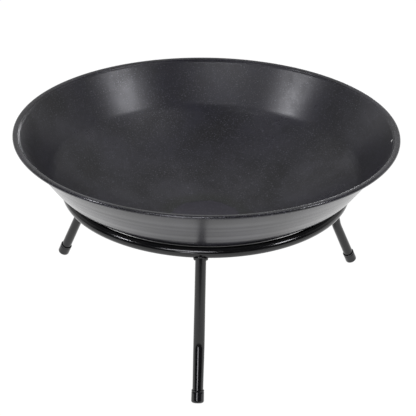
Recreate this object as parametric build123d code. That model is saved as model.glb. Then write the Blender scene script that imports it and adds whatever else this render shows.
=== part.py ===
from build123d import *
import math
import os

# Wide steel fire bowl lying loose in a round tubular stand with three splayed legs.
# Millimetres, +Z up. The origin is on the floor, under the middle of the bowl.
# The front leg points along -Y; the two rear legs stand 120 degrees to each side of it.

# --- driving dimensions -----------------------------------------------------------------
RIM_DIAMETER = 600.0          # over the rolled rim
OVERALL_HEIGHT = 315.0        # floor to the top of the rim
SHEET = 1.2                   # pressed steel sheet of the bowl
HEM_HEIGHT = 5.5              # flattened roll round the rim, top to bottom
HEM_WIDTH = 8.6               # flattened roll, inside corner to outer edge
HEM_BEND = 1.6                # sheet middle radius where the wall turns out into the roll
HEM_TUCK = 2.5                # gap between the roll's tucked-in edge and the wall
CREASE_RADIUS = 237.0         # where the wall meets the dished bottom
CREASE_BEND = 60.0            # sheet middle radius of the bend that starts there
CREASE_TURN = 14.5            # degrees that the bend steepens the sheet by
DISH_RADIUS = 374.4           # sphere of the dished bottom, middle of the sheet
DISH_DEPTH = 158.0            # rim middle down to where that sphere would be lowest
BUTTON_RADIUS = 54.0          # flat button pressed in the middle of the dish
BUTTON_BLEND = 60.0           # sheet middle radius of the button's edge
HANG_HOLE_DIAMETER = 6.5      # small hole that the bowl hangs from while it is painted
HANG_HOLE_DROP = 4.6          # below the rim's middle plane
HANG_HOLE_AZIMUTH = -3.5      # degrees from +X towards +Y

TUBE = 16.0                   # outside diameter of the ring's and the legs' tube
TUBE_WALL = 1.5
RING_RADIUS = 220.5           # ring's centre line
BOWL_CLEARANCE = 0.3          # air left between the bowl's underside and the ring
RING_SEAM_GAP = 1.0           # root gap of the ring's butt weld
RING_SEAM_WIDTH = 5.0         # width of the bead over it
RING_SEAM_CROWN = 0.8         # height of the bead
RING_SEAM_GRIND = 2.0         # bead is ground off from this far above the centre, towards the bowl

LEG_COUNT = 3
LEG_TOP_DROP = 2.5            # leg tube and its weld start this far below the ring's centre
UPPER_SPLAY = 14.9            # degrees from plumb, ring to bend
LOWER_SPLAY = 25.0            # degrees from plumb, bend to foot
BEND_HEIGHT = 80.0            # where the two runs' centre lines would meet
BEND_RADIUS = 60.0            # centre line radius of the bend
WELD_LEG = 3.8                # reach of the fillet weld along the ring and down the leg

CAP_DIAMETER = 19.0
CAP_LENGTH = 19.0
CAP_FLOOR = 2.6               # thickness of the cap's closed end
CAP_EDGE = 3.0                # rounding of the closed end
CAP_LIP = 0.6                 # rounding of the open end
CAP_FLAT = 0.8                # how far the closed end is flattened where it stands

# --- worked-out places ------------------------------------------------------------------
RIM_Z = OVERALL_HEIGHT - HEM_HEIGHT / 2
RIM_RADIUS = RIM_DIAMETER / 2
DISH_CENTRE_Z = RIM_Z - DISH_DEPTH + DISH_RADIUS
BUTTON_Z = DISH_CENTRE_Z - math.sqrt(DISH_RADIUS**2 - BUTTON_RADIUS**2)
DISH_SLOPE = math.asin(CREASE_RADIUS / DISH_RADIUS)
CREASE_Z = DISH_CENTRE_Z - DISH_RADIUS * math.cos(DISH_SLOPE)
BEND_CENTRE_X = CREASE_RADIUS - CREASE_BEND * math.sin(DISH_SLOPE)
BEND_CENTRE_Z = CREASE_Z + CREASE_BEND * math.cos(DISH_SLOPE)
# The wall is an arc that carries on from the bend and ends in the roll's inside corner.
WALL_SLOPE = DISH_SLOPE + math.radians(CREASE_TURN)
WALL_RUN = RIM_RADIUS - HEM_WIDTH - BEND_CENTRE_X - CREASE_BEND * math.sin(WALL_SLOPE)
WALL_RISE = OVERALL_HEIGHT - SHEET / 2 - BEND_CENTRE_Z + CREASE_BEND * math.cos(WALL_SLOPE)
WALL_SAG = WALL_RISE * math.cos(WALL_SLOPE) - WALL_RUN * math.sin(WALL_SLOPE)
WALL_RADIUS = (WALL_RUN**2 + WALL_RISE**2) / (2 * WALL_SAG)
WALL_CENTRE_X = BEND_CENTRE_X - (WALL_RADIUS - CREASE_BEND) * math.sin(WALL_SLOPE)
WALL_CENTRE_Z = BEND_CENTRE_Z + (WALL_RADIUS - CREASE_BEND) * math.cos(WALL_SLOPE)
TUBE_RADIUS = TUBE / 2
RING_REACH = DISH_RADIUS + SHEET / 2 + BOWL_CLEARANCE + TUBE_RADIUS
RING_Z = DISH_CENTRE_Z - math.sqrt(RING_REACH**2 - RING_RADIUS**2)
UPPER = math.radians(UPPER_SPLAY)
LOWER = math.radians(LOWER_SPLAY)
BEND_X = RING_RADIUS + (RING_Z - BEND_HEIGHT) * math.tan(UPPER)
CAP_RADIUS = CAP_DIAMETER / 2
# The closed end's rounding comes lowest on the side facing the middle of the stand.
EDGE_DROP = (CAP_RADIUS - CAP_EDGE) * math.sin(LOWER) - CAP_EDGE * math.cos(LOWER) + CAP_EDGE
FOOT_Z = EDGE_DROP - CAP_FLAT
FOOT_X = BEND_X + (BEND_HEIGHT - FOOT_Z) * math.tan(LOWER)
LEG_NAMES = ["front", "rear_right", "rear_left"]


def save(shape, node):
    """Write one node's solid and print what it is."""
    export_step(shape, f"parts/{node}.step")
    print(node, "volume", round(shape.volume, 1))


# --- bowl -------------------------------------------------------------------------------
def steepness(offset, height):
    """Slope of the wall where its face at this offset reaches this height."""
    return math.acos((WALL_CENTRE_Z - height) / (WALL_RADIUS - offset))


def wall_x(offset, height):
    """How far out the wall's face at this offset is at this height."""
    return WALL_CENTRE_X + (WALL_RADIUS - offset) * math.sin(steepness(offset, height))


def sheet_arc(centre_x, centre_z, radius, start, end):
    """Arc that the sheet follows from one slope to a steeper one."""
    points = []
    for slope in (start, (start + end) / 2, end):
        points.append((centre_x + radius * math.sin(slope), centre_z - radius * math.cos(slope)))
    return ThreePointArc(*points)


def sheet_face(offset):
    """One face of the pressed sheet, from the bowl's axis to the roll's tucked-in edge."""
    roll = HEM_HEIGHT / 2 - SHEET / 2 + offset
    turn_x = RIM_RADIUS - HEM_HEIGHT / 2
    tuck_x = wall_x(-SHEET / 2, RIM_Z - HEM_HEIGHT / 2 + SHEET / 2) + HEM_TUCK
    radius = DISH_RADIUS - offset
    edge_slope = math.acos((DISH_CENTRE_Z - BUTTON_Z - offset) / radius)
    top_slope = steepness(offset, RIM_Z + roll)
    dish = sheet_arc(0, DISH_CENTRE_Z, radius, edge_slope, DISH_SLOPE)
    button = Line((0, BUTTON_Z + offset), dish @ 0)
    bend = sheet_arc(BEND_CENTRE_X, BEND_CENTRE_Z, CREASE_BEND - offset, DISH_SLOPE, WALL_SLOPE)
    wall = sheet_arc(WALL_CENTRE_X, WALL_CENTRE_Z, WALL_RADIUS - offset, WALL_SLOPE, top_slope)
    rim_top = Line(wall @ 1, (turn_x, RIM_Z + roll))
    rim_edge = ThreePointArc(rim_top @ 1, (turn_x + roll, RIM_Z), (turn_x, RIM_Z - roll))
    rim_under = Line(rim_edge @ 1, (tuck_x, RIM_Z - roll))
    wire = Wire([button, dish, bend, wall, rim_top, rim_edge, rim_under])
    for place, round_off in ((dish @ 0, BUTTON_BLEND - offset), (wall @ 1, HEM_BEND + offset)):
        wire = wire.fillet_2d(round_off, [wire.vertices().sort_by_distance(place)[0]])
    return wire


def bowl_profile():
    """Closed half section of the bowl: button, dish, crease, bowed wall and flattened roll."""
    inside = sheet_face(SHEET / 2)
    outside = sheet_face(-SHEET / 2)
    ends = []
    for inner, outer in ((inside @ 0, outside @ 0), (inside @ 1, outside @ 1)):
        ends.append(Edge.make_line(inner, outer))
    return Face(Wire(inside.edges() + outside.edges() + ends))


def bowl():
    """Pressed bowl with its rolled rim and the one hanging hole near the rim."""
    section = Plane.XZ * bowl_profile()
    body = revolve(section, axis=Axis.Z)
    z = RIM_Z - HANG_HOLE_DROP
    slope = steepness(0, z)
    out = Vector(math.sin(slope), 0, -math.cos(slope))
    place = Plane(origin=(wall_x(0, z), 0, z), z_dir=out)
    drill = place * Cylinder(HANG_HOLE_DIAMETER / 2, 8 * SHEET)
    return body - Rot(0, 0, HANG_HOLE_AZIMUTH) * drill


# --- ring of the stand ------------------------------------------------------------------
def ring_band(section, width):
    """Section set on the ring's centre line and swept round the axis for width, centred on +Y."""
    angle = math.degrees(width / RING_RADIUS)
    placed = Plane.XZ * Pos(RING_RADIUS, RING_Z) * section
    return Rot(0, 0, 90 - angle / 2) * revolve(placed, axis=Axis.Z, revolution_arc=angle)


def ring():
    """Tube bent to a circle, its two ends facing each other at the back."""
    section = Circle(TUBE_RADIUS) - Circle(TUBE_RADIUS - TUBE_WALL)
    length = 2 * math.pi * RING_RADIUS - RING_SEAM_GAP
    return Rot(0, 0, 180) * ring_band(section, length)


def ring_seam_weld():
    """Butt weld that closes the ring: it fills the gap, and its crown is ground off under the bowl."""
    fill_section = Circle(TUBE_RADIUS) - Circle(TUBE_RADIUS - TUBE_WALL)
    crown_section = Circle(TUBE_RADIUS + RING_SEAM_CROWN) - Circle(TUBE_RADIUS)
    crown_section -= Pos(0, TUBE + RING_SEAM_GRIND) * Rectangle(2 * TUBE, 2 * TUBE)
    lean = math.degrees(math.asin(RING_RADIUS / RING_REACH))
    fill = ring_band(fill_section, RING_SEAM_GAP)
    crown = ring_band(Rot(0, 0, lean) * crown_section, RING_SEAM_WIDTH)
    return fill + crown


def ring_core(extra):
    """Solid ring, extra millimetres fatter than the tube, for shaping what is welded to it."""
    return Pos(0, 0, RING_Z) * Torus(RING_RADIUS, TUBE_RADIUS + extra)


# --- one leg, drawn in the XZ plane and turned into place ---------------------------------
def leg_direction(splay):
    """Unit vector down the leg at this splay."""
    return Vector(math.sin(splay), 0, -math.cos(splay))


def leg_axis(top_drop, end_gap):
    """Centre line from below the ring, round the bend, to end_gap short of the foot."""
    top = Vector(RING_RADIUS, 0, RING_Z) + leg_direction(UPPER) * (top_drop / math.cos(UPPER))
    foot = Vector(FOOT_X, 0, FOOT_Z) - leg_direction(LOWER) * end_gap
    return FilletPolyline(top, (BEND_X, 0, BEND_HEIGHT), foot, radius=BEND_RADIUS)


def leg():
    """Bent tube whose top is notched to sit against the underside of the ring."""
    path = leg_axis(LEG_TOP_DROP, CAP_FLOOR)
    start = Plane(origin=path @ 0, z_dir=path % 0)
    tube = sweep(start * (Circle(TUBE_RADIUS) - Circle(TUBE_RADIUS - TUBE_WALL)), path=path)
    return tube - ring_core(0)


def leg_weld():
    """Fillet weld in the corner between the ring and the leg, all the way round the leg."""
    down = leg_direction(UPPER)
    place = Plane(origin=Vector(RING_RADIUS, 0, RING_Z) + down * LEG_TOP_DROP, z_dir=down)
    from_top = (Align.CENTER, Align.CENTER, Align.MIN)
    collar = place * Cylinder(TUBE_RADIUS + WELD_LEG, TUBE, align=from_top)
    inside = place * Cylinder(TUBE_RADIUS, TUBE, align=from_top)
    return (collar & ring_core(WELD_LEG)) - ring_core(0) - inside


def foot_cap():
    """Push-on cap over the end of the tube, flattened a little where it stands."""
    down = leg_direction(LOWER)
    place = Plane(origin=(FOOT_X, 0, FOOT_Z), z_dir=-down)
    outside = Cylinder(CAP_RADIUS, CAP_LENGTH, align=(Align.CENTER, Align.CENTER, Align.MIN))
    outside = fillet(outside.edges().group_by(Axis.Z)[0], CAP_EDGE)
    outside = fillet(outside.edges().group_by(Axis.Z)[-1], CAP_LIP)
    socket = Cylinder(TUBE_RADIUS, CAP_LENGTH, align=(Align.CENTER, Align.CENTER, Align.MIN))
    cap = place * (outside - Pos(0, 0, CAP_FLOOR) * socket)
    floor = Pos(FOOT_X, 0, -CAP_RADIUS) * Box(4 * CAP_RADIUS, 4 * CAP_RADIUS, 2 * CAP_RADIUS)
    return cap - floor


def stand_patch():
    """Middle of the flat that one cap stands on, measured from the solid itself."""
    flats = foot_cap().faces().filter_by(GeomType.PLANE).filter_by(Axis.Z)
    flat = flats.sort_by(Axis.Z)[0]
    return flat.center(), flat.area


def main():
    os.makedirs("parts", exist_ok=True)
    save(bowl(), "bowl")
    save(ring(), "ring")
    save(ring_seam_weld(), "ring_seam_weld")
    for index, name in enumerate(LEG_NAMES):
        turn = Rot(0, 0, -90 + index * 360 / LEG_COUNT)
        save(turn * leg(), f"leg_{name}")
        save(turn * leg_weld(), f"leg_weld_{name}")
        save(turn * foot_cap(), f"foot_cap_{name}")
    centre, area = stand_patch()
    print("standing flat: radius", round(centre.X, 3), "height", round(centre.Z, 3), "area", round(area, 2))
    print("ring z", round(RING_Z, 3), "crease z", round(CREASE_Z, 3), "dish centre z", round(DISH_CENTRE_Z, 3))
    print("wall radius", round(WALL_RADIUS, 1), "button z", round(BUTTON_Z, 3))
    print("bend x", round(BEND_X, 3), "foot x", round(FOOT_X, 3), "foot z", round(FOOT_Z, 3))


main()
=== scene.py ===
import math

import bmesh
import bpy
from bpy.props import FloatProperty, FloatVectorProperty, IntProperty, PointerProperty
from mathutils import Matrix, Vector, noise


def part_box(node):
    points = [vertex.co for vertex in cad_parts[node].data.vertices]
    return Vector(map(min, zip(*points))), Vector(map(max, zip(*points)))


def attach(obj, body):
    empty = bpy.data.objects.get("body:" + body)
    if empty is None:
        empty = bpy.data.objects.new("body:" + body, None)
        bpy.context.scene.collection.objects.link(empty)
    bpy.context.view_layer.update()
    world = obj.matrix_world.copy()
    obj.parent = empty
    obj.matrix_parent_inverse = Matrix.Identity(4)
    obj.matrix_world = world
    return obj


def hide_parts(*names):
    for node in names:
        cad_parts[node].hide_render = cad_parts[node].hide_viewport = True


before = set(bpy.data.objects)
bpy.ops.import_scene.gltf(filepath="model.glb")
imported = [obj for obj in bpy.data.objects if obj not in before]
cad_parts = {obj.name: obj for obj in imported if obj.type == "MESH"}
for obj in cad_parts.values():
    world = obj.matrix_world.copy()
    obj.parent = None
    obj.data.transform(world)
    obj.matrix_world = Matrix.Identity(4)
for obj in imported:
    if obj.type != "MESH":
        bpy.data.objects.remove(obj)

bl_info = {
    "name": "Fire Bowl",
    "version": (1, 0, 0),
    "blender": (4, 5, 0),
    "location": "View3D > Sidebar > Fire Bowl",
    "description": "Models a pressed steel fire bowl lying loose in its three-legged tube stand",
    "category": "Add Mesh",
}

MM = 0.001
UP = Vector((0, 0, 1))
SIDE = Vector((0, 1, 0))
LEGS = {"front": -90, "rear_right": 30, "rear_left": 150}

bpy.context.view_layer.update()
bowl_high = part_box("bowl")[1]
ring_low, ring_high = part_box("ring")
TUBE_RADIUS = (ring_high.z - ring_low.z) / 2
RING_RADIUS = ring_high.x - TUBE_RADIUS
RING_Z = (ring_high.z + ring_low.z) / 2
RIM_RADIUS = bowl_high.x
RIM_TOP = bowl_high.z

# spacing of mesh edges along each run, and steps round each turned or swept part
BUTTON_STEP = 9 * MM
DISH_STEP = 3.5 * MM
CREASE_STEP = 1 * MM
WALL_STEP = 1.4 * MM
CROWN_STEP = 0.8 * MM
TUCK_STEP = 1.5 * MM
LEG_STEP = 6 * MM
TUBE_SIDES = 48
RING_STEPS = 288
SEAM_STEPS = 24
BEND_STEPS = 12
BEAD_SIDES = 18
BEAD_STEPS = 216
CAP_STEPS = 64

# how the sheet's unevenness comes and goes
RIPPLE_END = 0.93
RIPPLE_FADE = 12
DISH_EDGE = 0.2
DISH_FADE = 0.03
DENT_SCALE = 9
GROOVE_WIDTH = 1.6 * MM

# fits of one part in another, as a share of the tube
SEAM_CORE = 0.999
CAP_SOCKET = 0.995

# colours of the dish's darker band and button, specks and wear
WHITE = (1, 1, 1, 1)
BAND_COLOUR = (0.009, 0.0105, 0.008, 1)
BUTTON_COLOUR = (0.036, 0.033, 0.044, 1)
SPECK_COLOUR = (0.12, 0.12, 0.145, 1)
RUBBED_COLOUR = (0.05, 0.05, 0.052, 1)
SCUFFED_COLOUR = (0.075, 0.073, 0.07, 1)

# how the bowl's coat differs between its two sides
BOWL_SIDES = {
    "inside": dict(
        specks=1.0, share=0.7, dust=0.10, swing=0.07, roll=0.17, rings=0.5, bump=0.07 * MM
    ),
    "outside": dict(
        specks=0.35, share=0.25, dust=0.0, swing=0.03, roll=0.06, rings=0.8, bump=0.05 * MM
    ),
}
BUMP_STRENGTH = {"inside": 0.6, "outside": 0.35}

# lights: azimuth and elevation in degrees, width and height in degrees, radiance
LIGHT_DISTANCE = 2.6
LIGHT_COLOUR = (0.95, 0.95, 1.0)
SOFTBOXES = {
    "right_key": (-20, 38, (18, 7), 33),
    "right_high": (-5, 64, (60, 24), 1.9),
    "left_key": (-159, 38.5, (12, 7), 46),
    "left_high": (-150, 68, (70, 12), 1.7),
    "front_strip": (-101, 36, (48, 5), 26),
    "front_low": (-101, 9, (13, 10), 9),
    "back_low": (79, 3, (16, 6), 7),
    "top": (0, 86, (220, 12), 0.3),
}

# where the floor's glow fades into its painted shadow under the bowl, from the bowl's axis
SHADE_FROM = 0.12
SHADE_TO = 0.24


# --- sizes and colours a user would change -----------------------------------------------
def length(name, description, millimetres):
    """A length property whose default is given in millimetres."""
    return FloatProperty(
        name=name,
        description=description,
        default=millimetres * MM,
        min=0,
        precision=4,
        unit="LENGTH",
        subtype="DISTANCE",
    )


def angle(name, description, degrees):
    """An angle property whose default is given in degrees."""
    return FloatProperty(
        name=name,
        description=description,
        default=math.radians(degrees),
        unit="ROTATION",
        subtype="ANGLE",
    )


def share(name, description, default):
    """A plain number from 0 to 1."""
    return FloatProperty(name=name, description=description, default=default, min=0, max=1)


def number(name, description, default):
    """A plain number without limits."""
    return FloatProperty(name=name, description=description, default=default)


def paint(name, description, colour):
    """A colour property."""
    return FloatVectorProperty(
        name=name, description=description, default=colour, size=3, min=0, max=1, subtype="COLOR"
    )


class FireBowlSizes(bpy.types.PropertyGroup):
    """Sizes of the pressed bowl."""

    sheet: length("Sheet", "Thickness of the steel sheet", 1.2)
    hem_height: length("Hem Height", "Flattened roll round the rim, top to bottom", 5.5)
    hem_width: length("Hem Width", "Flattened roll, inside corner to outer edge", 8.6)
    hem_bend: length("Hem Bend", "Radius where the wall turns out into the roll", 2.2)
    hem_tuck: length("Hem Tuck", "Gap between the roll's tucked edge and the wall", 2.5)
    crease_radius: length("Crease Radius", "Where the wall meets the dished bottom", 237.0)
    crease_bend: length("Crease Bend", "Radius of the bend that starts there", 60.0)
    crease_turn: angle("Crease Turn", "How much the bend steepens the sheet", 14.5)
    groove: length("Groove", "Depth of the tool mark along the crease", 0.14)
    dish_radius: length("Dish Radius", "Sphere of the dished bottom", 374.4)
    dish_depth: length("Dish Depth", "Middle of the rim down to the sphere's lowest point", 158.0)
    button_radius: length("Button Radius", "Flat button pressed in the dish's middle", 54.0)
    button_blend: length("Button Blend", "Rounding of the button's edge", 60.0)
    hole_radius: length("Hole Radius", "Small hole the bowl hangs from for painting", 3.25)
    hole_drop: length("Hole Drop", "Hole below the rim's middle", 4.6)
    hole_turn: angle("Hole Turn", "Hole's place round the rim, from +X", -3.5)
    hem_crown: length("Hem Crown", "How much the flattened roll is still rounded on top", 1.5)
    ripple: length("Ripple", "Height of the turned ripples in the wall", 0.016)
    ripple_pitch: length("Ripple Pitch", "Distance between the ripples", 6.5)
    dent: length("Unevenness", "How far the sheet strays from its true shape", 0.12)
    segments: IntProperty(name="Segments", description="Steps round the bowl", default=256)


class FireStandSizes(bpy.types.PropertyGroup):
    """Sizes of the stand's legs, welds and caps."""

    upper_splay: angle("Upper Splay", "Upper run of the leg, from plumb", 14.9)
    lower_splay: angle("Lower Splay", "Lower run of the leg, from plumb", 25.0)
    bend_height: length("Bend Height", "Where the two runs' centre lines would meet", 80.0)
    bend_radius: length("Bend Radius", "Centre line radius of the bend", 60.0)
    bend_squash: share("Bend Squash", "How much the tube widens in the bend", 0.04)
    bend_spread: length("Bend Spread", "How far the widening reaches from the bend", 45.0)
    leg_drop: length("Leg Drop", "Leg's top below the ring's centre line", 2.5)
    weld_reach: length("Weld Reach", "Reach of the weld along the ring and the leg", 3.6)
    weld_ripple: length("Weld Ripple", "Height of the weld's ripples", 0.22)
    weld_pitch: length("Weld Pitch", "Distance between the weld's ripples", 2.1)
    cap_radius: length("Cap Radius", "Outside of the foot cap", 9.5)
    cap_length: length("Cap Length", "Length of the foot cap", 19.0)
    cap_edge: length("Cap Edge", "Rounding of the closed end", 3.0)
    cap_lip: length("Cap Lip", "Thickness of the open end's lip", 0.8)
    cap_floor: length("Cap Floor", "Thickness of the closed end", 2.6)
    cap_flat: length("Cap Flat", "How far the closed end is worn flat", 0.8)
    seam_crown: length("Seam Crown", "Height of the ring's butt weld", 0.75)
    seam_width: length("Seam Width", "Width of the ring's butt weld", 5.0)


class FireBowlFinish(bpy.types.PropertyGroup):
    """Colours and gloss of the coatings."""

    bowl: paint("Bowl", "Heat-resistant coating of the bowl", (0.0148, 0.0144, 0.0190))
    bowl_inside_rough: share("Inside Roughness", "Roughness of the bowl's inside", 0.33)
    bowl_outside_rough: share("Outside Roughness", "Roughness of the bowl's outside", 0.23)
    stand: paint("Stand", "Powder coat of the stand", (0.005, 0.005, 0.0055))
    stand_rough: share("Stand Roughness", "Roughness of the powder coat", 0.14)
    cap: paint("Cap", "Moulded vinyl of the foot caps", (0.007, 0.007, 0.008))
    cap_rough: share("Cap Roughness", "Roughness of the vinyl", 0.13)
    dust: paint("Dust", "Fine dust and ash", (0.30, 0.28, 0.26))


class FireBowlStage(bpy.types.PropertyGroup):
    """Camera, lights and floor."""

    distance: length("Distance", "Camera from the rim's middle, along the floor", 1920.2)
    height: length("Height", "Camera above the rim", 860.2)
    turn: angle("Turn", "Camera round the bowl, from the front leg", 1.5)
    aim: angle("Aim", "Camera looks this far right of the middle", 0.12)
    tilt: angle("Tilt", "Camera looks down", 27.5)
    roll: angle("Roll", "Camera leans to its left", 0.88)
    lens: number("Lens", "Focal length for 36 mm", 116.7)
    floor_size: length("Floor", "Side of the floor", 9000.0)
    paper: number("Paper", "Light the floor gives round the bowl", 1.05)
    shade: number("Shade", "Light the floor gives under the bowl", 0.25)
    world: number("World", "Brightness of the room behind the bowl", 0.57)


# --- small helpers -----------------------------------------------------------------------
def clip(value):
    """Keeps a number between 0 and 1."""
    return max(0.0, min(1.0, value))


def arc(centre, radius, start, end, count):
    """Points of an arc in a plane, from start to end in degrees."""
    points = []
    for step in range(count + 1):
        turn = math.radians(start + (end - start) * step / count)
        across, up = radius * math.cos(turn), radius * math.sin(turn)
        points.append(Vector((centre[0] + across, centre[1] + up)))
    return points


def round_corner(before, corner, after, radius, count):
    """Arc points that round a corner between two straight runs."""
    inward = (before - corner).normalized()
    outward = (after - corner).normalized()
    half = inward.angle(outward) / 2
    reach = radius / math.tan(half)
    centre = corner + (inward + outward).normalized() * (radius / math.sin(half))
    first = corner + inward * reach - centre
    last = corner + outward * reach - centre
    sweep = first.angle_signed(last)
    points = []
    for step in range(count + 1):
        turn = Matrix.Rotation(-sweep * step / count, 2)
        points.append(centre + turn @ first)
    return points


def divide(start, end, spacing):
    """Points along a straight run, ends included, no further apart than spacing."""
    count = max(1, math.ceil((end - start).length / spacing))
    return [start.lerp(end, step / count) for step in range(count + 1)]


def new_chain(mesh, points):
    """Joined edges through points of the XZ plane."""
    verts = [mesh.verts.new((point[0], 0, point[1])) for point in points]
    edges = [mesh.edges.new(pair) for pair in zip(verts, verts[1:])]
    return verts, edges


def spin_full(mesh, verts, edges, steps):
    """Turns an outline once round Z, closing the seam and the pole."""
    bmesh.ops.spin(
        mesh,
        geom=verts + edges,
        cent=(0, 0, 0),
        axis=(0, 0, 1),
        dvec=(0, 0, 0),
        angle=math.tau,
        steps=steps,
        use_merge=True,
    )
    bmesh.ops.remove_doubles(mesh, verts=mesh.verts, dist=0.01 * MM)
    bmesh.ops.recalc_face_normals(mesh, faces=mesh.faces)


def mark_sharp(mesh, limit):
    """Keeps real corners crisp under smooth shading."""
    for edge in mesh.edges:
        if edge.is_manifold and edge.calc_face_angle(0) > math.radians(limit):
            edge.smooth = False


def add_piece(name, mesh, body, materials, slot, *nodes):
    """Turns a bmesh into a finished piece that stands for its CAD nodes."""
    for face in mesh.faces:
        face.smooth = True
    data = bpy.data.meshes.new(name)
    mesh.to_mesh(data)
    mesh.free()
    for material in materials:
        data.materials.append(material)
    piece = bpy.data.objects.new(name, data)
    bpy.context.scene.collection.objects.link(piece)
    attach(piece, body)
    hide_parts(*nodes)
    return piece


def tube_station(centre, along, side):
    """Matrix that puts a circle of the XY plane square across a tube."""
    across = along.cross(side).normalized()
    matrix = Matrix((side, across, along)).transposed().to_4x4()
    matrix.translation = centre
    return matrix


def sweep_tube(mesh, stations, radius, segments):
    """Closed tube through the stations, each a matrix that may also squash the section."""
    bmesh.ops.create_circle(mesh, segments=segments, radius=radius, matrix=stations[0])
    loop = list(mesh.edges)
    ends = [loop]
    for before, after in zip(stations, stations[1:]):
        grown = bmesh.ops.extrude_edge_only(mesh, edges=loop)["geom"]
        moved = [item for item in grown if isinstance(item, bmesh.types.BMVert)]
        bmesh.ops.transform(mesh, matrix=after @ before.inverted(), verts=moved)
        starts = set(moved)
        loop = [
            item
            for item in grown
            if isinstance(item, bmesh.types.BMEdge) and set(item.verts) <= starts
        ]
    ends.append(loop)
    for end in ends:
        bmesh.ops.contextual_create(mesh, geom=end)
    bmesh.ops.recalc_face_normals(mesh, faces=mesh.faces)


def each_leg():
    """Name of each leg, and the turn that carries the +X leg to its place."""
    for name, azimuth in LEGS.items():
        yield name, Matrix.Rotation(math.radians(azimuth), 4, "Z")


def leg_down(splay):
    """Unit vector down a leg that leans out along +X."""
    return Vector((math.sin(splay), 0, -math.cos(splay)))


def leg_points(sizes):
    """Ring centre, bend corner and foot of the leg that leans out along +X."""
    ring = Vector((RING_RADIUS, 0, RING_Z))
    fall = RING_Z - sizes.bend_height
    bend = ring + leg_down(sizes.upper_splay) * (fall / math.cos(sizes.upper_splay))
    lean = sizes.lower_splay
    low = (sizes.cap_radius - sizes.cap_edge) * math.sin(lean) - sizes.cap_edge * math.cos(lean)
    foot_z = low + sizes.cap_edge - sizes.cap_flat
    foot = bend + leg_down(lean) * ((sizes.bend_height - foot_z) / math.cos(lean))
    return ring, bend, foot


# --- bowl --------------------------------------------------------------------------------
def slope_arc(centre, radius, start, end, spacing):
    """Points of an arc from one slope of the sheet to a steeper one."""
    count = max(2, math.ceil(radius * (end - start) / spacing))
    points = []
    for step in range(count + 1):
        slope = start + (end - start) * step / count
        points.append(centre + radius * Vector((math.sin(slope), -math.cos(slope))))
    return points


def bowl_outline(sizes):
    """Upper face of the sheet from the dish's middle to the roll's tucked edge, and its places."""
    half = sizes.sheet / 2
    rim_z = RIM_TOP - sizes.hem_height / 2
    dish = Vector((0, rim_z - sizes.dish_depth + sizes.dish_radius))
    dish_slope = math.asin(sizes.crease_radius / sizes.dish_radius)
    toward = Vector((-math.sin(dish_slope), math.cos(dish_slope)))
    crease = dish - toward * sizes.dish_radius
    bend = crease + toward * sizes.crease_bend
    slope = dish_slope + sizes.crease_turn
    inward = Vector((-math.sin(slope), math.cos(slope)))
    start = bend - inward * sizes.crease_bend
    corner = Vector((RIM_RADIUS - sizes.hem_width, RIM_TOP - half))
    wall_radius = (corner - start).length_squared / (2 * (corner - start).dot(inward))
    wall = start + inward * wall_radius
    top_slope = math.acos((wall.y - RIM_TOP) / (wall_radius - half))
    radius = sizes.dish_radius - half
    button_z = dish.y - math.sqrt(sizes.dish_radius**2 - sizes.button_radius**2) + half
    edge_slope = math.acos((dish.y - button_z) / radius)
    rounds = slope_arc(dish, radius, edge_slope, dish_slope, DISH_STEP)
    middle = Vector((0, button_z))
    corner_arc = round_corner(middle, rounds[0], rounds[2], sizes.button_blend, 6)
    points = divide(middle, corner_arc[0], BUTTON_STEP)[:-1] + corner_arc + rounds[2:]
    points += slope_arc(bend, sizes.crease_bend - half, dish_slope, slope, CREASE_STEP)[1:]
    rise = slope_arc(wall, wall_radius - half, slope, top_slope, WALL_STEP)
    turn = round_corner(rise[-5], rise[-1], rise[-1] + Vector((1, 0)), sizes.hem_bend, 8)
    points += rise[1:-3] + turn
    outer = RIM_RADIUS - sizes.hem_height / 2
    crown = divide(turn[-1], Vector((outer, RIM_TOP)), CROWN_STEP)
    for point in turn + crown[1:]:
        lean = (outer - point.x) / (outer - turn[0].x)
        point.y -= sizes.hem_crown * lean**2
    points += crown[1:-1] + arc((outer, rim_z), sizes.hem_height / 2, 90, -90, 18)
    under = rim_z - sizes.hem_height / 2
    back = math.acos((wall.y - under - half) / (wall_radius + half))
    tuck = wall.x + (wall_radius + half) * math.sin(back) + sizes.hem_tuck
    points += divide(points[-1], Vector((tuck, under)), TUCK_STEP)[1:]
    hole_z = rim_z - sizes.hole_drop
    hole_slope = math.acos((wall.y - hole_z) / wall_radius)
    hole = Vector((wall.x + wall_radius * math.sin(hole_slope), hole_z))
    return points, crease, (hole, hole_slope)


def bow_sheet(mesh, sizes, crease):
    """Turned ripples, the tool mark at the crease and a little unevenness, all gone at the rim."""
    for vert in mesh.verts:
        radius = vert.co.xy.length
        climb = (vert.co.z - crease.y) / (RIM_TOP - crease.y)
        fade = clip((RIPPLE_END - climb) * RIPPLE_FADE) * clip(climb * RIPPLE_FADE)
        inside = clip((DISH_EDGE - radius) / DISH_FADE)
        place = (vert.co.z - crease.y) / sizes.ripple_pitch
        wave = 2 * noise.noise(Vector((0.3, 0.7, 2 * place)))
        wave *= 0.6 + noise.noise(Vector((2 * vert.co.x, 2 * vert.co.y, place)))
        lift = sizes.ripple * wave * fade * (0.3 + 0.7 * max(0.0, climb))
        lift += sizes.dent * noise.noise(vert.co * DENT_SCALE) * max(fade, inside)
        lift -= sizes.groove * math.exp(-(((radius - crease.x) / GROOVE_WIDTH) ** 2))
        vert.co += vert.normal * lift


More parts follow.
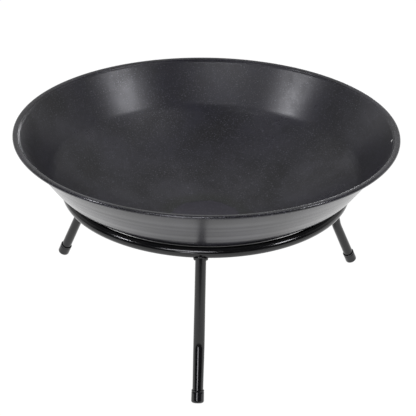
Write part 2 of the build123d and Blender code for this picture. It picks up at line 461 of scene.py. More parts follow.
def cut_hanging_hole(piece, sizes, hole, slope):
    """Drills the small hole just under the rim, square to the wall."""
    out = Vector((math.sin(slope), 0, -math.cos(slope)))
    station = tube_station(Vector((hole.x, 0, hole.y)), out, SIDE)
    drill = bmesh.new()
    bmesh.ops.create_cone(
        drill,
        cap_ends=True,
        segments=32,
        radius1=sizes.hole_radius,
        radius2=sizes.hole_radius,
        depth=7 * sizes.sheet,
        matrix=Matrix.Rotation(sizes.hole_turn, 4, "Z") @ station,
    )
    data = bpy.data.meshes.new("drill")
    drill.to_mesh(data)
    drill.free()
    tool = bpy.data.objects.new("drill", data)
    bpy.context.scene.collection.objects.link(tool)
    cut = piece.modifiers.new("hanging hole", "BOOLEAN")
    cut.operation = "DIFFERENCE"
    cut.solver = "EXACT"
    cut.object = tool
    bpy.context.view_layer.update()
    graph = bpy.context.evaluated_depsgraph_get()
    done = bpy.data.meshes.new_from_object(piece.evaluated_get(graph))
    piece.modifiers.clear()
    piece.data = done
    bpy.data.objects.remove(tool)
    crisp = bmesh.new()
    crisp.from_mesh(done)
    mark_sharp(crisp, 40)
    for face in crisp.faces:
        face.smooth = True
    crisp.to_mesh(done)
    crisp.free()


class MESH_OT_fire_bowl(bpy.types.Operator):
    """Make the pressed bowl with its rolled rim and hanging hole"""

    bl_idname = "mesh.fire_bowl"
    bl_label = "Bowl"
    bl_options = {"REGISTER", "UNDO"}

    def execute(self, context):
        sizes = context.scene.fire_bowl_sizes
        points, crease, hole = bowl_outline(sizes)
        mesh = bmesh.new()
        verts, edges = new_chain(mesh, points)
        spin_full(mesh, verts, edges, sizes.segments)
        mesh.faces.ensure_lookup_table()
        middle = min(mesh.faces, key=lambda face: face.calc_center_median().xy.length)
        if middle.normal.z < 0:
            bmesh.ops.reverse_faces(mesh, faces=mesh.faces)
        mesh.normal_update()
        bow_sheet(mesh, sizes, crease)
        mesh.normal_update()
        upper = set(mesh.faces)
        bmesh.ops.solidify(mesh, geom=mesh.faces[:], thickness=sizes.sheet)
        bmesh.ops.recalc_face_normals(mesh, faces=mesh.faces)
        for face in mesh.faces:
            face.material_index = 0 if face in upper else 1
        coats = [bowl_coating("inside"), bowl_coating("outside")]
        piece = add_piece("bowl_pressed", mesh, "bowl", coats, "bowl_coating", "bowl")
        cut_hanging_hole(piece, sizes, *hole)
        return {"FINISHED"}


# --- ring --------------------------------------------------------------------------------
class MESH_OT_fire_bowl_ring(bpy.types.Operator):
    """Make the tube ring that the bowl lies in"""

    bl_idname = "mesh.fire_bowl_ring"
    bl_label = "Ring"
    bl_options = {"REGISTER", "UNDO"}

    def execute(self, context):
        mesh = bmesh.new()
        place = tube_station(Vector((RING_RADIUS, 0, RING_Z)), SIDE, UP)
        bmesh.ops.create_circle(mesh, segments=TUBE_SIDES, radius=TUBE_RADIUS, matrix=place)
        spin_full(mesh, mesh.verts[:], mesh.edges[:], RING_STEPS)
        add_piece("ring_tube", mesh, "stand", [stand_coating()], "stand_coating", "ring")
        return {"FINISHED"}


class MESH_OT_fire_bowl_seam(bpy.types.Operator):
    """Make the butt weld that closes the ring at the back"""

    bl_idname = "mesh.fire_bowl_seam"
    bl_label = "Ring Seam"
    bl_options = {"REGISTER", "UNDO"}

    def execute(self, context):
        sizes = context.scene.fire_stand_sizes
        mesh = bmesh.new()
        stations = []
        for step in range(SEAM_STEPS + 1):
            share_along = step / SEAM_STEPS * 2 - 1
            turn = math.pi / 2 + share_along * sizes.seam_width / 2 / RING_RADIUS
            out = Vector((math.cos(turn), math.sin(turn), 0))
            crown = sizes.seam_crown * math.sqrt(max(0, 1 - share_along**2))
            grow = 1 + crown * (1 + 0.2 * math.cos(share_along * 9)) / 1.2 / TUBE_RADIUS
            centre = out * RING_RADIUS + UP * RING_Z
            station = tube_station(centre, UP.cross(out), out)
            stations.append(station @ Matrix.Diagonal((grow, grow, 1, 1)))
        sweep_tube(mesh, stations, TUBE_RADIUS * SEAM_CORE, TUBE_SIDES)
        self.grind_flush(mesh)
        add_piece(
            "ring_seam_bead", mesh, "stand", [weld_coating()], "weld_coating", "ring_seam_weld"
        )
        return {"FINISHED"}

    def grind_flush(self, mesh):
        """Takes the crown down to the tube where the bowl lies on it."""
        seat = Vector((0, -0.59, 0.81))
        middle = Vector((0, RING_RADIUS, RING_Z))
        for vert in mesh.verts:
            offset = vert.co - middle
            offset.x = 0
            if offset.length > TUBE_RADIUS and offset.normalized().dot(seat) > 0.2:
                flush = offset.normalized() * TUBE_RADIUS * SEAM_CORE
                vert.co.y = middle.y + flush.y
                vert.co.z = middle.z + flush.z


# --- legs --------------------------------------------------------------------------------
def leg_stations(sizes, turn):
    """Sections down one leg: top, upper run, squashed bend, lower run."""
    ring, bend, foot = leg_points(sizes)
    upper, lower = leg_down(sizes.upper_splay), leg_down(sizes.lower_splay)
    bend_turn = sizes.lower_splay - sizes.upper_splay
    reach = sizes.bend_radius * math.tan(bend_turn / 2)
    start = bend - upper * reach
    centre = start + Vector((upper.z, 0, -upper.x)) * -sizes.bend_radius
    places = [(point, upper) for point in divide(ring + upper * sizes.leg_drop, start, LEG_STEP)]
    for step in range(1, BEND_STEPS + 1):
        swing = Matrix.Rotation(-bend_turn * step / BEND_STEPS, 3, "Y")
        places.append((centre + swing @ (start - centre), swing @ upper))
    end = foot - lower * sizes.cap_floor
    places += [(point, lower) for point in divide(places[-1][0], end, LEG_STEP)[1:]]
    stations = []
    for point, along in places:
        near = math.exp(-(((point - bend).length / sizes.bend_spread) ** 2))
        widen = 1 + sizes.bend_squash * near
        station = tube_station(point, along, SIDE)
        stations.append(turn @ station @ Matrix.Diagonal((widen, 2 - widen, 1, 1)))
    return stations


class MESH_OT_fire_bowl_legs(bpy.types.Operator):
    """Make the three bent tube legs"""

    bl_idname = "mesh.fire_bowl_legs"
    bl_label = "Legs"
    bl_options = {"REGISTER", "UNDO"}

    def execute(self, context):
        sizes = context.scene.fire_stand_sizes
        for name, turn in each_leg():
            mesh = bmesh.new()
            sweep_tube(mesh, leg_stations(sizes, turn), TUBE_RADIUS, TUBE_SIDES)
            mark_sharp(mesh, 60)
            coats = [stand_coating()]
            add_piece(f"leg_tube_{name}", mesh, "stand", coats, "stand_coating", f"leg_{name}")
        return {"FINISHED"}


def shape_weld(mesh, sizes, place):
    """Bends a plain ring of bead round the leg into the saddle between leg and ring."""
    count = round(math.tau * TUBE_RADIUS / sizes.weld_pitch)
    for vert in mesh.verts:
        phi = math.atan2(vert.co.y, vert.co.x)
        crotch = math.sin(phi) ** 2
        psi = math.atan2(vert.co.z, vert.co.xy.length - TUBE_RADIUS)
        ripple = 1 + sizes.weld_ripple / sizes.weld_reach * math.sin(count * phi + 0.8 * psi)
        uneven = 1 + 0.16 * noise.noise(vert.co * 260)
        reach = sizes.weld_reach * (0.42 + 0.42 * crotch) * ripple * uneven
        under = TUBE_RADIUS * math.sqrt(0.5 + 0.5 * crotch) + 0.3 * sizes.weld_reach * crotch
        out = TUBE_RADIUS - 0.1 * sizes.weld_reach + reach * math.cos(psi)
        vert.co = Vector((out * math.cos(phi), out * math.sin(phi), under + reach * math.sin(psi)))
    bmesh.ops.transform(mesh, matrix=place, verts=mesh.verts)


class MESH_OT_fire_bowl_welds(bpy.types.Operator):
    """Make the rippled fillet weld round the top of each leg"""

    bl_idname = "mesh.fire_bowl_welds"
    bl_label = "Leg Welds"
    bl_options = {"REGISTER", "UNDO"}

    def execute(self, context):
        sizes = context.scene.fire_stand_sizes
        ring = leg_points(sizes)[0]
        for name, turn in each_leg():
            mesh = bmesh.new()
            section = tube_station(Vector((TUBE_RADIUS, 0, 0)), SIDE, UP)
            bmesh.ops.create_circle(mesh, segments=BEAD_SIDES, radius=2 * MM, matrix=section)
            spin_full(mesh, mesh.verts[:], mesh.edges[:], BEAD_STEPS)
            station = tube_station(ring, leg_down(sizes.upper_splay), SIDE)
            shape_weld(mesh, sizes, turn @ station @ Matrix.Rotation(math.pi / 2, 4, "Z"))
            bmesh.ops.recalc_face_normals(mesh, faces=mesh.faces)
            coats = [weld_coating()]
            add_piece(f"leg_bead_{name}", mesh, "stand", coats, "weld_coating", f"leg_weld_{name}")
        return {"FINISHED"}


# --- foot caps ---------------------------------------------------------------------------
def cap_outline(sizes):
    """Half section of a moulded cap, closed end at zero, from its middle out and back in."""
    edge, lip, long = sizes.cap_edge, sizes.cap_lip, sizes.cap_length
    body = sizes.cap_radius
    waist = body - 0.35 * MM
    socket = TUBE_RADIUS * CAP_SOCKET
    points = [Vector((0, 0)), Vector((body * 0.4, 0))]
    points += arc((body - edge, edge), edge, -90, 0, 8)
    points += divide(points[-1], Vector((body - 0.1 * MM, long - 3 * MM)), 2 * MM)[1:]
    points += [Vector((waist, long - 2.7 * MM)), Vector((waist, long - 2.1 * MM))]
    points += arc((body - lip / 2, long - lip / 2), lip / 2, 0, 180, 10)
    points += [Vector((body - lip, long - 1.6 * MM)), Vector((socket, long - 2.6 * MM))]
    return points + [Vector((socket, sizes.cap_floor)), Vector((0, sizes.cap_floor))]


class MESH_OT_fire_bowl_caps(bpy.types.Operator):
    """Make the push-on foot caps, worn flat where they stand"""

    bl_idname = "mesh.fire_bowl_caps"
    bl_label = "Foot Caps"
    bl_options = {"REGISTER", "UNDO"}

    def execute(self, context):
        sizes = context.scene.fire_stand_sizes
        foot = leg_points(sizes)[2]
        for name, turn in each_leg():
            mesh = bmesh.new()
            verts, edges = new_chain(mesh, cap_outline(sizes))
            spin_full(mesh, verts, edges, CAP_STEPS)
            up = tube_station(foot, -leg_down(sizes.lower_splay), SIDE)
            bmesh.ops.transform(mesh, matrix=turn @ up, verts=mesh.verts)
            cut = bmesh.ops.bisect_plane(
                mesh,
                geom=mesh.verts[:] + mesh.edges[:] + mesh.faces[:],
                plane_co=(0, 0, 0),
                plane_no=(0, 0, -1),
                clear_outer=True,
            )
            ring = [item for item in cut["geom_cut"] if isinstance(item, bmesh.types.BMEdge)]
            bmesh.ops.contextual_create(mesh, geom=ring)
            bmesh.ops.recalc_face_normals(mesh, faces=mesh.faces)
            mark_sharp(mesh, 50)
            coats = [cap_vinyl()]
            add_piece(f"cap_moulded_{name}", mesh, "stand", coats, "cap_vinyl", f"foot_cap_{name}")
        return {"FINISHED"}


# --- shader building blocks --------------------------------------------------------------
def add_node(tree, kind, settings=None, **inputs):
    """Adds a node, sets its settings, and sets or links its named inputs."""
    node = tree.nodes.new(kind)
    for key, value in (settings or {}).items():
        setattr(node, key, value)
    for key, value in inputs.items():
        socket = node.inputs[int(key[1:])] if key[0] == "n" and key[1:].isdigit() else None
        socket = socket or node.inputs[key.replace("_", " ")]
        if isinstance(value, bpy.types.NodeSocket):
            tree.links.new(value, socket)
        else:
            socket.default_value = value
    return node


def maths(tree, operation, first, second=0.0, clamp=False):
    """One Math node; returns its value."""
    settings = {"operation": operation, "use_clamp": clamp}
    return add_node(tree, "ShaderNodeMath", settings, n0=first, n1=second).outputs[0]


def span(tree, value, low, high, to_low=0.0, to_high=1.0):
    """Map Range, clamped; returns its value."""
    node = add_node(
        tree,
        "ShaderNodeMapRange",
        {"clamp": True},
        n0=value,
        n1=low,
        n2=high,
        n3=to_low,
        n4=to_high,
    )
    return node.outputs[0]


def blend(tree, share_in, first, second):
    """Mixes two colours; returns the colour."""
    node = add_node(tree, "ShaderNodeMix", {"data_type": "RGBA"}, n0=share_in, n6=first, n7=second)
    return node.outputs[2]


def speckle(tree, where, scale, detail=2.0, rough=0.5):
    """Noise texture; returns its value."""
    node = add_node(
        tree, "ShaderNodeTexNoise", None, Vector=where, Scale=scale, Detail=detail, Roughness=rough
    )
    return node.outputs["Fac"]


def off_axis(tree, where):
    """Parts of a place, and its distance from the bowl's axis."""
    parts = add_node(tree, "ShaderNodeSeparateXYZ", None, Vector=where).outputs
    flat = add_node(tree, "ShaderNodeCombineXYZ", None, X=parts["X"], Y=parts["Y"]).outputs[0]
    away = add_node(tree, "ShaderNodeVectorMath", {"operation": "LENGTH"}, n0=flat)
    return parts, away.outputs["Value"]


def new_group(name, inputs, outputs):
    """Empty shader group with named sockets; returns the tree and its two end nodes."""
    tree = bpy.data.node_groups.new(name, "ShaderNodeTree")
    for label, kind, default in inputs:
        socket = tree.interface.new_socket(label, in_out="INPUT", socket_type=kind)
        if default is not None:
            socket.default_value = default
    for label, kind in outputs:
        tree.interface.new_socket(label, in_out="OUTPUT", socket_type=kind)
    return tree, tree.nodes.new("NodeGroupInput"), tree.nodes.new("NodeGroupOutput")


def shared_group(name, build):
    """The group of that name, built the first time it is asked for."""
    return bpy.data.node_groups.get(name) or build(name)


def build_coat_grain(name):
    """Fine orange peel and pigment specks of a sprayed coat."""
    tree, given, result = new_group(
        name,
        [
            ("Vector", "NodeSocketVector", None),
            ("Peel Scale", "NodeSocketFloat", 500.0),
            ("Speck Scale", "NodeSocketFloat", 900.0),
            ("Speck Amount", "NodeSocketFloat", 0.5),
        ],
        [("Height", "NodeSocketFloat"), ("Specks", "NodeSocketFloat")],
    )
    where = given.outputs["Vector"]
    peel = speckle(tree, where, given.outputs["Peel Scale"], 3.0, 0.55)
    fine = speckle(tree, where, given.outputs["Speck Scale"], 1.0, 0.4)
    specks = span(tree, fine, 0.60, 0.78)
    specks = maths(tree, "MULTIPLY", specks, given.outputs["Speck Amount"], clamp=True)
    height = maths(tree, "ADD", peel, maths(tree, "MULTIPLY", specks, 0.6))
    tree.links.new(height, result.inputs["Height"])
    tree.links.new(specks, result.inputs["Specks"])
    return tree


def build_turning_marks(name):
    """Fine rings left round the bowl's axis by the forming tool, uneven along each ring."""
    tree, given, result = new_group(
        name,
        [("Vector", "NodeSocketVector", None), ("Rings", "NodeSocketFloat", 260.0)],
        [("Height", "NodeSocketFloat"), ("Bands", "NodeSocketFloat")],
    )
    parts, radius = off_axis(tree, given.outputs["Vector"])
    along = maths(tree, "ADD", radius, parts["Z"])
    fine = add_node(
        tree,
        "ShaderNodeTexNoise",
        {"noise_dimensions": "1D"},
        W=along,
        Scale=given.outputs["Rings"],
        Detail=3.0,
        Roughness=0.6,
    ).outputs["Fac"]
    wide = add_node(
        tree, "ShaderNodeTexNoise", {"noise_dimensions": "1D"}, W=along, Scale=38.0, Detail=2.0
    ).outputs["Fac"]
    broken = span(tree, speckle(tree, given.outputs["Vector"], 6.0, 2.0), 0.35, 0.65, 0.35, 1.0)
    height = maths(tree, "MULTIPLY", maths(tree, "SUBTRACT", fine, 0.5), broken)
    bands = maths(tree, "MULTIPLY", maths(tree, "SUBTRACT", wide, 0.5), broken)
    tree.links.new(height, result.inputs["Height"])
    tree.links.new(bands, result.inputs["Bands"])
    return tree


def build_settled_dust(name):
    """Thin dust that settles on faces that look up, patchy and finely speckled."""
    tree, given, result = new_group(
        name,
        [("Vector", "NodeSocketVector", None), ("Amount", "NodeSocketFloat", 0.2)],
        [("Mask", "NodeSocketFloat")],
    )
    where = given.outputs["Vector"]
    normal = tree.nodes.new("ShaderNodeNewGeometry").outputs["Normal"]
    upness = add_node(tree, "ShaderNodeSeparateXYZ", None, Vector=normal).outputs["Z"]
    facing = span(tree, upness, 0.0, 0.95)
    patches = span(tree, speckle(tree, where, 11.0, 4.0, 0.6), 0.38, 0.70)
    grains = span(tree, speckle(tree, where, 650.0, 1.0), 0.46, 0.72)
    mask = maths(tree, "MULTIPLY", maths(tree, "MULTIPLY", patches, grains), facing)
    mask = maths(tree, "MULTIPLY", mask, given.outputs["Amount"], clamp=True)
    tree.links.new(mask, result.inputs["Mask"])
    return tree


def build_rubbed_edges(name):
    """Mask of proud edges where handling has polished or thinned the coat."""
    tree, given, result = new_group(
        name,
        [
            ("Vector", "NodeSocketVector", None),
            ("Low", "NodeSocketFloat", 0.53),
            ("High", "NodeSocketFloat", 0.62),
        ],
        [("Mask", "NodeSocketFloat")],
    )
    sharp = tree.nodes.new("ShaderNodeNewGeometry").outputs["Pointiness"]
    edge = add_node(
        tree,
        "ShaderNodeMapRange",
        None,
        n0=sharp,
        n1=given.outputs["Low"],
        n2=given.outputs["High"],
    ).outputs[0]
    patches = span(tree, speckle(tree, given.outputs["Vector"], 60.0, 4.0, 0.65), 0.45, 0.62)
    mask = maths(tree, "MULTIPLY", edge, patches, clamp=True)
    tree.links.new(mask, result.inputs["Mask"])
    return tree


def build_bowl_zones(name):
    """Masks round the bowl's axis: the pressed button, the darker band round it, and the roll."""
    tree, given, result = new_group(
        name,
        [("Vector", "NodeSocketVector", None), ("Button Radius", "NodeSocketFloat", 0.05)],
        [("Button", "NodeSocketFloat"), ("Band", "NodeSocketFloat"), ("Roll", "NodeSocketFloat")],
    )
    where = given.outputs["Vector"]
    radius = off_axis(tree, where)[1]
    wander = maths(tree, "SUBTRACT", speckle(tree, where, 22.0, 3.0), 0.5)
    wavy = maths(tree, "ADD", radius, maths(tree, "MULTIPLY", wander, 0.012))
    past = maths(tree, "SUBTRACT", wavy, given.outputs["Button Radius"])
    button = span(tree, past, 0.0, -3 * MM)
    outside = span(tree, past, -1 * MM, 3 * MM)
    band = maths(tree, "MULTIPLY", outside, span(tree, past, 26 * MM, 12 * MM))
    roll = span(tree, radius, RIM_RADIUS - 10.5 * MM, RIM_RADIUS - 8.5 * MM)
    tree.links.new(button, result.inputs["Button"])
    tree.links.new(band, result.inputs["Band"])
    tree.links.new(roll, result.inputs["Roll"])
    return tree


def use_group(tree, name, build, **inputs):
    """Places a shared group in a material."""
    return add_node(
        tree, "ShaderNodeGroup", {"node_tree": shared_group(name, build)}, **inputs
    ).outputs


def coat_grain(tree, where, peel, speck, amount):
    """Places the shared grain with its two scales and how much of the specks shows."""
    return use_group(
        tree,
        "Coat Grain",
        build_coat_grain,
        Vector=where,
        Peel_Scale=peel,
        Speck_Scale=speck,
        Speck_Amount=amount,
    )


def new_coat(name):
    """Material with its shader, and the place on the piece that its patterns read."""
    material = bpy.data.materials.new(name)
    material.use_nodes = True
    tree = material.node_tree
    tree.nodes.clear()
    surface = tree.nodes.new("ShaderNodeBsdfPrincipled")
    output = tree.nodes.new("ShaderNodeOutputMaterial")
    tree.links.new(surface.outputs["BSDF"], output.inputs["Surface"])
    where = tree.nodes.new("ShaderNodeTexCoord").outputs["Object"]
    return material, tree, surface, where


def set_bump(tree, surface, height, distance, strength):
    """Feeds a height to the shader's normal."""
    bump = add_node(
        tree, "ShaderNodeBump", None, Height=height, Distance=distance, Strength=strength
    )
    tree.links.new(bump.outputs["Normal"], surface.inputs["Normal"])


def rgba(colour):
    """Four-part colour from a three-part one."""
    return (*colour, 1.0)


# --- coats -------------------------------------------------------------------------------
def bowl_coating(side):
    """Satin black heat-resistant coat: mottled, speckled and dusty inside, glossier outside."""
    name = f"bowl_satin_{side}"
    if name in bpy.data.materials:
        return bpy.data.materials[name]
    finish = bpy.context.scene.fire_bowl_finish
    inner = side == "inside"
    look = BOWL_SIDES[side]
    base_rough = finish.bowl_inside_rough if inner else finish.bowl_outside_rough
    material, tree, surface, where = new_coat(name)
    grain = coat_grain(tree, where, 420.0, 520.0, look["specks"])
    marks = use_group(tree, "Turning Marks", build_turning_marks, Vector=where, Rings=300.0)
    button_radius = bpy.context.scene.fire_bowl_sizes.button_radius
    zones = use_group(
        tree, "Bowl Zones", build_bowl_zones, Vector=where, Button_Radius=button_radius
    )
    dust = use_group(
        tree, "Settled Dust", build_settled_dust, Vector=where, Amount=look["dust"]
    )
    cloud = speckle(tree, where, 13.0, 5.0, 0.6)
    mottle = span(tree, cloud, 0.36, 0.66)
    deep = rgba([value * 0.5 for value in finish.bowl])
    pale = rgba([value * 1.65 for value in finish.bowl])
    colour = blend(tree, mottle, deep, pale)
    if inner:
        band = maths(tree, "MULTIPLY", zones["Band"], 0.7)
        colour = blend(tree, band, colour, BAND_COLOUR)
        button = maths(tree, "MULTIPLY", zones["Button"], 0.8)
        colour = blend(tree, button, colour, BUTTON_COLOUR)
    specks = maths(tree, "MULTIPLY", grain["Specks"], look["share"])
    colour = blend(tree, specks, colour, SPECK_COLOUR)
    colour = blend(tree, dust["Mask"], colour, rgba(finish.dust))
    tree.links.new(colour, surface.inputs["Base Color"])
    swing = look["swing"]
    rough = span(tree, cloud, 0.3, 0.7, base_rough + swing, base_rough - swing)
    rough = maths(tree, "ADD", rough, maths(tree, "MULTIPLY", grain["Specks"], -0.06))
    rough = maths(tree, "ADD", rough, maths(tree, "MULTIPLY", dust["Mask"], 0.5))
    rubbed = maths(tree, "MULTIPLY", zones["Roll"], look["roll"])
    rough = maths(tree, "SUBTRACT", rough, rubbed, clamp=True)
    tree.links.new(rough, surface.inputs["Roughness"])
    if not inner:
        streaks = span(tree, marks["Bands"], -0.12, 0.12)
        tree.links.new(maths(tree, "MULTIPLY", streaks, 0.5), surface.inputs["Coat Weight"])
        surface.inputs["Coat Roughness"].default_value = 0.2
    rings = maths(tree, "MULTIPLY", marks["Height"], look["rings"])
    bands = maths(tree, "MULTIPLY", marks["Bands"], 2.2)
    height = maths(tree, "ADD", maths(tree, "ADD", rings, bands), grain["Height"])
    smooth = maths(tree, "SUBTRACT", 1.0, maths(tree, "MULTIPLY", zones["Roll"], 0.95))
    height = maths(tree, "MULTIPLY", height, smooth)
    set_bump(tree, surface, height, look["bump"], BUMP_STRENGTH[side])
    return material


def stand_coating():
    """Gloss black powder coat of the ring and the legs."""
    if "stand_powder" in bpy.data.materials:
        return bpy.data.materials["stand_powder"]
    finish = bpy.context.scene.fire_bowl_finish
    material, tree, surface, where = new_coat("stand_powder")
    grain = coat_grain(tree, where, 330.0, 700.0, 0.2)
    dust = use_group(tree, "Settled Dust", build_settled_dust, Vector=where, Amount=0.06)
    cloud = speckle(tree, where, 30.0, 4.0, 0.6)
    deep = rgba([value * 0.8 for value in finish.stand])
    pale = rgba([value * 1.25 for value in finish.stand])
    colour = blend(tree, span(tree, cloud, 0.35, 0.65), deep, pale)
    colour = blend(tree, dust["Mask"], colour, rgba(finish.dust))
    tree.links.new(colour, surface.inputs["Base Color"])
    rough = span(tree, cloud, 0.3, 0.7, finish.stand_rough - 0.03, finish.stand_rough + 0.04)
    rough = maths(tree, "ADD", rough, maths(tree, "MULTIPLY", dust["Mask"], 0.5), clamp=True)
    tree.links.new(rough, surface.inputs["Roughness"])
    set_bump(tree, surface, grain["Height"], 0.03 * MM, 0.25)
    return material


def weld_coating():
    """Powder coat over a weld: the same black, rougher, with specks of spatter under it."""
    if "weld_powder" in bpy.data.materials:
        return bpy.data.materials["weld_powder"]
    finish = bpy.context.scene.fire_bowl_finish
    material, tree, surface, where = new_coat("weld_powder")
    grain = coat_grain(tree, where, 520.0, 420.0, 0.8)
    edges = use_group(tree, "Rubbed Edges", build_rubbed_edges, Vector=where, Low=0.58, High=0.68)
    colour = blend(tree, edges["Mask"], rgba(finish.stand), RUBBED_COLOUR)
    tree.links.new(colour, surface.inputs["Base Color"])
    base = finish.stand_rough
    rough = span(tree, grain["Specks"], 0.0, 1.0, base + 0.06, base + 0.16)
    tree.links.new(rough, surface.inputs["Roughness"])
    set_bump(tree, surface, grain["Height"], 0.12 * MM, 0.6)
    return material


def cap_vinyl():
    """Soft black moulded vinyl with a sheen, rubbed at its edges, scuffed where it stands."""
    if "cap_rubbed" in bpy.data.materials:
        return bpy.data.materials["cap_rubbed"]
    finish = bpy.context.scene.fire_bowl_finish
    material, tree, surface, where = new_coat("cap_rubbed")
    grain = coat_grain(tree, where, 900.0, 1400.0, 0.3)
    edges = use_group(tree, "Rubbed Edges", build_rubbed_edges, Vector=where, Low=0.57, High=0.66)
    parts = add_node(tree, "ShaderNodeSeparateXYZ", None, Vector=where).outputs
    scuff = span(tree, parts["Z"], 0.0, 4 * MM, 1.0, 0.0)
    patches = span(tree, speckle(tree, where, 380.0, 3.0, 0.6), 0.42, 0.66)
    scuff = maths(tree, "MULTIPLY", scuff, patches)
    worn = maths(tree, "MAXIMUM", scuff, maths(tree, "MULTIPLY", edges["Mask"], 0.5))
    colour = blend(tree, worn, rgba(finish.cap), SCUFFED_COLOUR)
    tree.links.new(colour, surface.inputs["Base Color"])
    rough = span(tree, worn, 0.0, 1.0, finish.cap_rough, finish.cap_rough + 0.3)
    tree.links.new(rough, surface.inputs["Roughness"])
    set_bump(tree, surface, grain["Height"], 0.03 * MM, 0.35)
    return material


# --- stage -------------------------------------------------------------------------------
def aim_at(place, target, lean=0.0):
    """Matrix of a camera or light at place that looks at target."""
    turn = (place - target).to_track_quat("Z", "Y").to_matrix().to_4x4()
    return Matrix.Translation(place) @ turn @ Matrix.Rotation(lean, 4, "Z")


def add_softbox(name, azimuth, elevation, spread, radiance):
    """Elliptical area light, placed and measured as the rim's middle sees it."""
    target = Vector((0, 0, RIM_TOP))
    turn, rise = math.radians(azimuth), math.radians(elevation)
    flat = math.cos(rise)
    out = Vector((math.cos(turn) * flat, math.sin(turn) * flat, math.sin(rise)))
    data = bpy.data.lights.new(name, "AREA")
    data.shape = "ELLIPSE"
    data.size = LIGHT_DISTANCE * flat * math.radians(spread[0])
    data.size_y = LIGHT_DISTANCE * math.radians(spread[1])
    data.energy = radiance * math.pi * data.size * data.size_y * math.pi / 4
    data.color = LIGHT_COLOUR
    light = bpy.data.objects.new(name, data)
    light.matrix_world = aim_at(target + out * LIGHT_DISTANCE, target)
    bpy.context.scene.collection.objects.link(light)


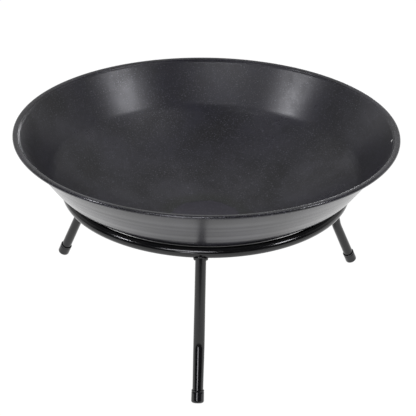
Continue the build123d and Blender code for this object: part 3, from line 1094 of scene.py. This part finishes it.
class SCENE_OT_fire_bowl_stage(bpy.types.Operator):
    """Make the pale floor, the soft lights and the camera"""

    bl_idname = "scene.fire_bowl_stage"
    bl_label = "Stage"
    bl_options = {"REGISTER", "UNDO"}

    def execute(self, context):
        stage = context.scene.fire_bowl_stage
        context.scene.view_settings.view_transform = "Standard"
        self.add_floor(context, stage)
        self.add_world(context, stage)
        for name, settings in SOFTBOXES.items():
            add_softbox(name, *settings)
        self.add_camera(context, stage)
        return {"FINISHED"}

    def add_floor(self, context, stage):
        """Large glowing floor: even white to the camera, with a painted shadow under the bowl in
        its reflections and in the light it gives.
        """
        mesh = bmesh.new()
        bmesh.ops.create_grid(mesh, x_segments=1, y_segments=1, size=stage.floor_size / 2)
        data = bpy.data.meshes.new("floor")
        mesh.to_mesh(data)
        mesh.free()
        floor = bpy.data.objects.new("floor", data)
        context.scene.collection.objects.link(floor)
        material, tree, surface, where = new_coat("floor_paper")
        surface.inputs["Base Color"].default_value = (0.04, 0.04, 0.04, 1)
        surface.inputs["Specular IOR Level"].default_value = 0.0
        surface.inputs["Emission Color"].default_value = WHITE
        away = add_node(tree, "ShaderNodeVectorMath", {"operation": "LENGTH"}, n0=where)
        far = away.outputs["Value"]
        # painted shadow: the floor's glow drops from paper to shade under the bowl, for every ray
        # but the camera's
        lit = span(tree, far, SHADE_FROM, SHADE_TO, stage.shade, stage.paper)
        seen = tree.nodes.new("ShaderNodeLightPath").outputs["Is Camera Ray"]
        change = maths(tree, "SUBTRACT", lit, 1.0)
        change = maths(tree, "MULTIPLY", change, maths(tree, "SUBTRACT", 1.0, seen))
        strength = maths(tree, "ADD", change, 1.0)
        tree.links.new(strength, surface.inputs["Emission Strength"])
        data.materials.append(material)

    def add_world(self, context, stage):
        """Pale room: bright behind the bowl, dark behind the camera, plain white to the camera."""
        world = bpy.data.worlds.new("room")
        world.use_nodes = True
        tree = world.node_tree
        ray = tree.nodes.new("ShaderNodeNewGeometry").outputs["Incoming"]
        depth = add_node(tree, "ShaderNodeSeparateXYZ", None, Vector=ray).outputs["Y"]
        lit = span(tree, depth, 0.1, -0.4, 0.0, stage.world)
        seen = tree.nodes.new("ShaderNodeLightPath").outputs["Is Camera Ray"]
        strength = maths(tree, "MAXIMUM", lit, seen)
        tree.links.new(strength, tree.nodes["Background"].inputs["Strength"])
        tree.nodes["Background"].inputs["Color"].default_value = WHITE
        context.scene.world = world

    def add_camera(self, context, stage):
        """Camera in front of the bowl and above it, looking down, leaning slightly."""
        data = bpy.data.cameras.new("camera")
        data.lens = stage.lens
        data.sensor_width = 36.0
        camera = bpy.data.objects.new("camera", data)
        rim_z = RIM_TOP - context.scene.fire_bowl_sizes.hem_height / 2
        turn = Matrix.Rotation(stage.turn, 4, "Z")
        place = Matrix.Translation((0, -stage.distance, rim_z + stage.height))
        aim = Matrix.Rotation(-stage.aim, 4, "Z")
        tilt = Matrix.Rotation(math.pi / 2 - stage.tilt, 4, "X")
        lean = Matrix.Rotation(stage.roll, 4, "Z")
        camera.matrix_world = turn @ place @ aim @ tilt @ lean
        context.scene.collection.objects.link(camera)
        context.scene.camera = camera


# --- add-on ------------------------------------------------------------------------------
class VIEW3D_PT_fire_bowl(bpy.types.Panel):
    """Buttons and settings of the fire bowl"""

    bl_idname = "VIEW3D_PT_fire_bowl"
    bl_label = "Fire Bowl"
    bl_space_type = "VIEW_3D"
    bl_region_type = "UI"
    bl_category = "Fire Bowl"

    def draw(self, context):
        layout = self.layout
        for operator in OPERATORS:
            layout.operator(operator.bl_idname)
        for holder in HOLDERS:
            group = getattr(context.scene, holder)
            box = layout.box()
            for key in group.__annotations__:
                box.prop(group, key)


OPERATORS = [
    MESH_OT_fire_bowl,
    MESH_OT_fire_bowl_ring,
    MESH_OT_fire_bowl_seam,
    MESH_OT_fire_bowl_legs,
    MESH_OT_fire_bowl_welds,
    MESH_OT_fire_bowl_caps,
    SCENE_OT_fire_bowl_stage,
]
HOLDERS = {
    "fire_bowl_sizes": FireBowlSizes,
    "fire_stand_sizes": FireStandSizes,
    "fire_bowl_finish": FireBowlFinish,
    "fire_bowl_stage": FireBowlStage,
}


def register():
    for group in HOLDERS.values():
        bpy.utils.register_class(group)
    for operator in OPERATORS:
        bpy.utils.register_class(operator)
    bpy.utils.register_class(VIEW3D_PT_fire_bowl)
    for holder, group in HOLDERS.items():
        setattr(bpy.types.Scene, holder, PointerProperty(type=group))


def unregister():
    for holder in HOLDERS:
        delattr(bpy.types.Scene, holder)
    bpy.utils.unregister_class(VIEW3D_PT_fire_bowl)
    for operator in reversed(OPERATORS):
        bpy.utils.unregister_class(operator)
    for group in reversed(list(HOLDERS.values())):
        bpy.utils.unregister_class(group)


def main():
    register()
    bpy.ops.mesh.fire_bowl()
    bpy.ops.mesh.fire_bowl_ring()
    bpy.ops.mesh.fire_bowl_seam()
    bpy.ops.mesh.fire_bowl_legs()
    bpy.ops.mesh.fire_bowl_welds()
    bpy.ops.mesh.fire_bowl_caps()
    bpy.ops.scene.fire_bowl_stage()


if __name__ == "__main__":
    main()
